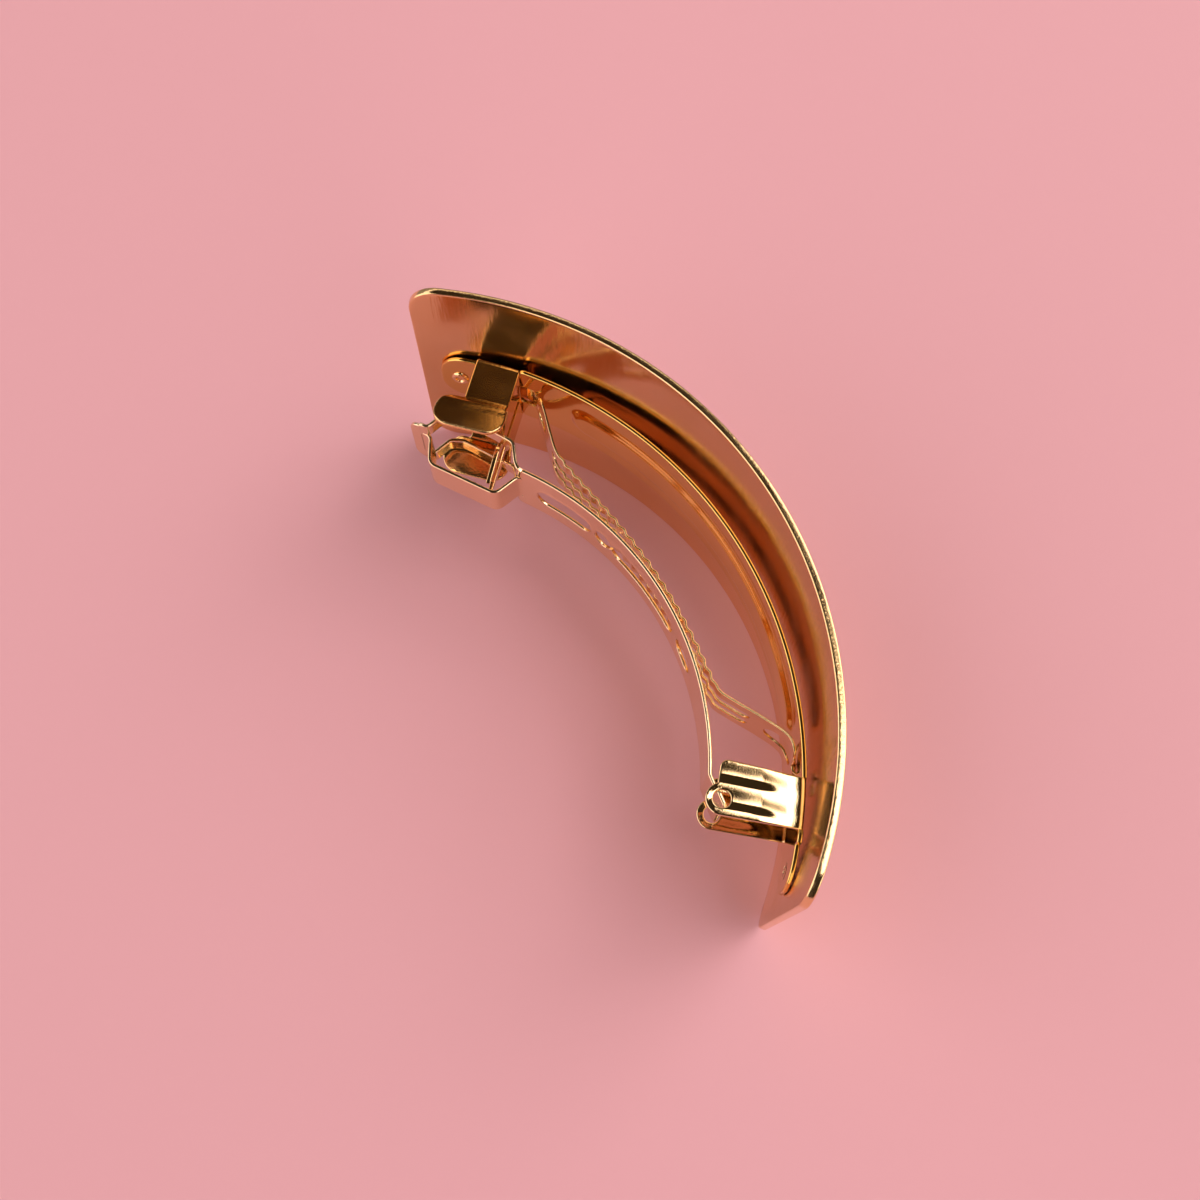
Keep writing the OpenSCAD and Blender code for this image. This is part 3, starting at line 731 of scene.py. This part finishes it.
def eye_line(shares, rise):
    """The line of one of the eye's strips, turned to run on from the arm's root, and its run."""
    line, run = bent_path([(-p * eye_length, q * rise) for p, q in shares], eye_bend)
    turned = np.stack([line[:, 0] * math.cos(eye_turn) - line[:, 1] * math.sin(eye_turn) + eye_root[0],
                       line[:, 0] * math.sin(eye_turn) + line[:, 1] * math.cos(eye_turn) + eye_root[1]], 1)
    return turned, run


def eye_strip(shares, rise, low, high):
    path = eye_line(shares, rise)
    begin, end = 0.9, path[1][-1]
    middle, half_length, half_width = (begin + end) / 2, (end - begin) / 2, (high - low) / 2
    strip_blank = blank(lambda s, v: box_field(s, v, middle, (low + high) / 2, half_length, half_width, 0.02),
                        (begin, low), (end, high), pitch=0.2, edge=0.14)
    return sheet_mesh(strip_blank, arm_sheet, follow(path),
                      butt=lambda s, v: (s < begin + butt_run) | (s > end - butt_run))


arm_parts.append(eye_strip(band_shares, -band_rise, -eye_split, eye_split))
arm_parts.append(eye_strip(strip_shares, strip_rise, eye_split, arm_half_width))
arm_parts.append(eye_strip(strip_shares, strip_rise, -arm_half_width, -eye_split))
tab_half_width = 4.3
tab_corner = 1.45
tab_blank = blank(lambda s, v: np.maximum(box_field(s, v, 0.3, 0, 1.5, tab_half_width, tab_corner), -s),
                  (0.0, -tab_half_width), (1.8, tab_half_width), pitch=0.16, edge=0.14)
arm_parts.append(sheet_mesh(tab_blank, arm_sheet, follow(eye_line(tab_shares, 0.0)),
                            butt=lambda s, v: s < butt_run))
arm_metal = gold("arm gold", (0.97, 0.74, 0.48), (0.93, 0.66, 0.40), (0.10, 0.20),
                 drawn=(5, 5, 1), line=0.8, grain=2200.0, wave=0.3)
arm = solid_piece("clasp_arm_strip", arm_parts)
arm.data.materials.append(arm_metal)
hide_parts("clasp_arm")
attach(arm, "arm")


# Tension bow: a thin spring strip whose ends sit in the bar. Its middle is corrugated, with two
# long slots side by side, and each leg has one oval slot. A second tree presses the corrugations.
bow_sheet = 0.35
bow_half = 31.4
bow_half_width = 4.0
bow_depth = 10.5059
# How far the bow has left the bar, as a share of its depth, at shares of half its span.
bow_rows = [(-1.04, -0.084), (-0.924, 0.162), (-0.75, 0.6), (-0.64, 0.815), (-0.4, 0.957), (0, 1),
            (0.376, 0.965), (0.545, 0.89), (0.617, 0.734), (0.737, 0.4), (0.842, 0.115), (0.9, 0.05),
            (0.955, 0.045), (1.01, -0.1)]


def bow_fall(share):
    """A smooth line through the bow's rows."""
    xs, ys = np.array(bow_rows).T
    slopes = np.zeros(len(xs))
    slopes[1:-1] = (ys[2:] - ys[:-2]) / (xs[2:] - xs[:-2])
    i = np.clip(np.searchsorted(xs, share) - 1, 0, len(xs) - 2)
    w = xs[i + 1] - xs[i]
    t = np.clip((share - xs[i]) / w, -0.2, 1.2)
    return (ys[i] * (2 * t ** 3 - 3 * t ** 2 + 1) + slopes[i] * w * (t ** 3 - 2 * t ** 2 + t)
            + ys[i + 1] * (3 * t ** 2 - 2 * t ** 3) + slopes[i + 1] * w * (t ** 3 - t ** 2))


def bow_height(x):
    return bar_centre + np.sqrt(bar_inside ** 2 - x ** 2) - bow_depth * bow_fall(x / bow_half)


def bow_field(x, v):
    left, right = -bow_half * 0.96, bow_half * 0.94
    body_corner, end_half_width, end_corner = 2.2, 1.8, 0.3
    long_middle, long_aside, long_half_length, long_half_width, long_corner = -0.31, 1.3, 21.98, 0.85, 0.84
    leg_half_width, leg_corner = 1.7, 1.65
    body = box_field(x, v, (left + right) / 2, 0, (right - left) / 2, bow_half_width, body_corner)
    ends = box_field(x, v, -0.015 * bow_half, 0, 1.025 * bow_half, end_half_width, end_corner)
    shape = np.minimum(body, ends)
    for side in (-1, 1):
        long_slot = box_field(x, v, long_middle, side * long_aside, long_half_length, long_half_width,
                              long_corner)
        shape = np.maximum(shape, -long_slot)
    for middle, half in ((26.38, 2.67), (-27.95, 1.88)):
        shape = np.maximum(shape, -box_field(x, v, middle, 0, half, leg_half_width, leg_corner))
    return shape


def pressing_tree():
    """Geometry Nodes: presses even corrugations across a flat strip between two places on it."""
    tree, given, at = start_tree("press the corrugations", ("Pitch", "Height", "From", "To", "Fade"))
    work = maths(tree)
    turns = work("MULTIPLY", work("DIVIDE", at[0], given["Pitch"]), 2 * math.pi)
    ripple = work("SINE", turns)
    start = work("DIVIDE", work("SUBTRACT", at[0], given["From"]), given["Fade"], clamp=True)
    end = work("DIVIDE", work("SUBTRACT", given["To"], at[0]), given["Fade"], clamp=True)
    size = work("MULTIPLY", work("MULTIPLY", start, end), work("MULTIPLY", given["Height"], 0.5))
    return end_tree(tree, given, "Offset", (None, work("MULTIPLY", size, ripple), None))


bow_metal = gold("bow gold", (0.95, 0.68, 0.39), (0.89, 0.59, 0.30), (0.08, 0.18),
                 drawn=(5, 5, 1), line=0.4, grain=1800.0, wave=0.3)
bow_blank = blank(bow_field, (-1.04 * bow_half, -bow_half_width), (1.01 * bow_half, bow_half_width),
                  pitch=0.2, edge=0.12)
bow = solid_piece("tension_bow_strip", [sheet_mesh(bow_blank, bow_sheet, lie_flat)])
run_tree(bow, pressing_tree(), {"Pitch": 1.8 * MM, "Height": 0.27 * MM, "From": -0.66 * bow_half * MM,
                                "To": 0.56 * bow_half * MM, "Fade": 2.1 * MM, "Metal": bow_metal})

# The pressed strip is bent to its line: each point keeps its height over the strip's middle.
strip = np.empty(len(bow.data.vertices) * 3)
bow.data.vertices.foreach_get("co", strip)
strip_x, strip_h, strip_v = strip.reshape(-1, 3).T / MM
slope = (bow_height(strip_x + 0.01) - bow_height(strip_x - 0.01)) / 0.02
slant = np.hypot(slope, 1)
shaped = np.stack([strip_x - slope / slant * strip_h, bow_height(strip_x) + strip_h / slant - CROWN,
                   strip_v + MIDDLE], 1)
bow.data.vertices.foreach_set("co", (shaped * MM).ravel())
bow.data.update()
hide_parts("tension_bow")
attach(bow, "clip")


# Studs: soft metal pins that hold the bar's tongues to the plate. At the catch end the head is
# rolled over like an eyelet, at the hinge end it is punched nearly flush, which leaves a star
# whose pit is painted near-black, as painted shade in the recess.
stud_metal = gold("stud gold", (0.95, 0.68, 0.38), (0.90, 0.60, 0.30), (0.08, 0.2), line=0.3, grain=1600.0)
# A near-black material, painted shade for the deep pit of the hinge stud's star.
pit_shade_metal = gold("stud pit painted shade", (0.10, 0.06, 0.04), (0.05, 0.03, 0.02), (0.4, 0.6), line=0.3, grain=1600.0)
eyelet_rim = 1.24
star_rim = 1.12


def eyelet_top(r, turn):
    hollow = 0.1 + 0.3 * np.clip((r - 0.35) / 0.3, 0, 1) ** 2
    lip = 0.4 * np.sqrt(np.clip(1 - ((r - 0.78) / 0.46) ** 2, 0, 1))
    return np.where(r < 0.65, hollow, lip) - 0.05


def star_top(r, turn):
    """Five arms are punched 0.5 mm deep into a head that stands 0.1 mm proud."""
    pit, proud = 0.5, 0.1
    arms = 0.22 + 0.56 * np.abs(np.cos(2.5 * turn + 0.4)) ** 3
    pressed = np.clip((arms - r) / 0.12, 0, 1)
    return proud * np.clip((star_rim - r) / 0.25, 0, 1) ** 0.5 - pit * pressed - 0.02


def stud_head(place_along, top, rim):
    """A head on the bar's inner face: rings of points whose height over that face comes from top."""
    around, rings, shank = 60, 26, 0.7
    foot_h = bar_sheet / 2 + 0.02
    turn, r = np.meshgrid(np.linspace(0, 2 * math.pi, around, endpoint=False), np.linspace(0.03, rim, rings))
    height = top(r, turn)
    height[-1] = -0.1
    u = place_along + r * np.cos(turn)
    v = r * np.sin(turn)
    points = np.stack([u, -bar_sheet / 2 - height, v], -1).reshape(-1, 3)
    low = np.stack([place_along + shank * np.cos(turn[0]), np.full(around, foot_h),
                    shank * np.sin(turn[0])], 1)
    middle = [[place_along, -bar_sheet / 2 - float(top(np.zeros(1), np.zeros(1))[0]), 0.0],
              [place_along, foot_h, 0.0]]
    points = np.concatenate([points, low, middle])
    faces = []
    for k in range(around):
        nxt = (k + 1) % around
        for ring in range(rings):
            a, b = ring * around, (ring + 1) * around
            faces.append([a + k, a + nxt, b + nxt, b + k])
        faces.append([len(points) - 2, nxt, k])
        faces.append([rings * around + k, rings * around + nxt, len(points) - 1])
    return points, faces


stud_kinds = (("stud_catch_end", -1, eyelet_top, eyelet_rim), ("stud_hinge_end", 1, star_top, star_rim))
for node, side, top, rim in stud_kinds:
    stud = solid_piece(node + "_head", [stud_head(side * stud_place, top, rim)])
    roll_round(stud, bar_middle, bar_centre - CROWN, stud_metal)
    stud.data.materials.append(pit_shade_metal)
    # Faces lying deeper than the bar's inner face, the star's pit and the hidden shank, get the near-black
    # painted shade.
    for polygon in stud.data.polygons:
        out = math.hypot(polygon.center.x, polygon.center.y - (bar_centre - CROWN) * MM)
        if out > bar_inside * MM:
            polygon.material_index = 1
    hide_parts(node)
    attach(stud, "clip")


# Setting: a plain pale pink table in a light room. The polished metal mirrors the room's parts, a
# bright window, a dark ceiling with an open side, a dark strip behind and a dim far side, while
# the backdrop that the camera sees is plain. None of it is part of the clip.
floor_mesh = bpy.data.meshes.new("table_top")
floor_mesh.from_pydata([(-3, -3, 0), (3, -3, 0), (3, 3, 0), (-3, 3, 0)], [], [(0, 1, 2, 3)])
floor = bpy.data.objects.new("table_top", floor_mesh)
bpy.context.scene.collection.objects.link(floor)
paper = bpy.data.materials.new("pale pink paper")
paper.use_nodes = True
paper_shader = paper.node_tree.nodes["Principled BSDF"]
paper_shader.inputs["Base Color"].default_value = (0.80, 0.38, 0.43, 1.0)
paper_shader.inputs["Roughness"].default_value = 0.75
floor_mesh.materials.append(paper)

world = bpy.data.worlds.new("room")
world.use_nodes = True
room, room_links = world.node_tree.nodes, world.node_tree.links
room_sum = maths(world.node_tree)
way = room.new("ShaderNodeTexCoord")
parts = room.new("ShaderNodeSeparateXYZ")
room_links.new(way.outputs["Generated"], parts.inputs[0])
photo_x = Vector((0.5700, 0.8216, 0.0))
photo_y = Vector((-0.8216, 0.5700, 0.0))


def lean(axis):
    """How far a way into the room leans along one axis of the picture, for each metre up."""
    along = room_sum("ADD", room_sum("MULTIPLY", parts.outputs[0], axis.x),
                     room_sum("MULTIPLY", parts.outputs[1], axis.y))
    return room_sum("DIVIDE", along, room_sum("MAXIMUM", parts.outputs[2], 0.02))


def band(value, middle, half, soft):
    """1 where the value is within half of the middle, falling to 0 over a soft edge."""
    away = room_sum("ABSOLUTE", room_sum("SUBTRACT", value, middle))
    return room_sum("DIVIDE", room_sum("SUBTRACT", half, away), soft, clamp=True)


def below(value, limit, soft):
    """1 where the value is under the limit, falling to 0 over a soft edge."""
    return room_sum("DIVIDE", room_sum("SUBTRACT", limit, value), soft, clamp=True)


def times(a, b):
    """The product, which for two masks is where both of them hold."""
    return room_sum("MULTIPLY", a, b)


def rest_of(value):
    """1 where a mask is 0."""
    return room_sum("SUBTRACT", 1.0, value)


lean_x, lean_y = lean(photo_x), lean(photo_y)
wide = times(lean_x, 0.75)
reach = room_sum("SQRT", room_sum("ADD", times(wide, wide), times(lean_y, lean_y)))
open_left = times(below(lean_x, -0.60, 0.05), below(lean_y, 0.45, 0.05))
ceiling = times(below(reach, 0.88, 0.08), rest_of(open_left))
behind_way = room_sum("DIVIDE", lean_x, room_sum("MINIMUM", lean_y, -0.05))
behind = times(band(behind_way, 0.0, 0.55, 0.1), below(lean_y, -0.20, 0.1))
ahead_way = room_sum("DIVIDE", lean_x, room_sum("MAXIMUM", lean_y, 0.05))
ahead = times(band(ahead_way, -0.6, 1.5, 0.2), rest_of(below(lean_y, 1.05, 0.2)))
window = times(band(lean_x, 0.485, 0.37, 0.02), band(lean_y, 0.05, 0.25, 0.02))
shade = room_sum("MAXIMUM", ceiling, behind)

# The brightness of the room, what the dim far side and the shade take from it, and the window's.
room_level = 1.65
ahead_loss = 1.38
shade_loss = 0.98
window_level = 3.4
backdrop_level = 0.85
level = room_sum("SUBTRACT", room_level, times(ahead, ahead_loss))
level = times(level, rest_of(times(shade, shade_loss)))
level = room_sum("ADD", level, times(window, window_level))
seen = room.new("ShaderNodeLightPath").outputs["Is Camera Ray"]
mirrored = rest_of(seen)
level = room_sum("ADD", times(level, mirrored), times(seen, backdrop_level))
room_links.new(level, room["Background"].inputs["Strength"])
tint = room.new("ShaderNodeMix")
tint.data_type = "RGBA"
tint.inputs["A"].default_value = (1.0, 0.95, 0.90, 1.0)
tint.inputs["B"].default_value = (1.0, 0.72, 0.45, 1.0)
room_links.new(times(times(shade, mirrored), rest_of(window)), tint.inputs["Factor"])
room_links.new(tint.outputs["Result"], room["Background"].inputs["Color"])
bpy.context.scene.world = world

window_data = bpy.data.lights.new("window", "AREA")
window_data.shape = "RECTANGLE"
window_data.size = 0.8
window_data.size_y = 0.8
window_data.energy = 4.2
window_data.color = (1.0, 0.97, 0.93)
window_light = bpy.data.objects.new("window", window_data)
window_light.location = photo_x * 0.75 + photo_y * 0.6 + Vector((0, 0, 0.95))
clip_middle = Vector((0, -0.02, 0))
window_light.rotation_mode = "QUATERNION"
window_light.rotation_quaternion = (clip_middle - window_light.location).to_track_quat("-Z", "Y")
bpy.context.scene.collection.objects.link(window_light)

bpy.context.scene.view_settings.view_transform = "Standard"
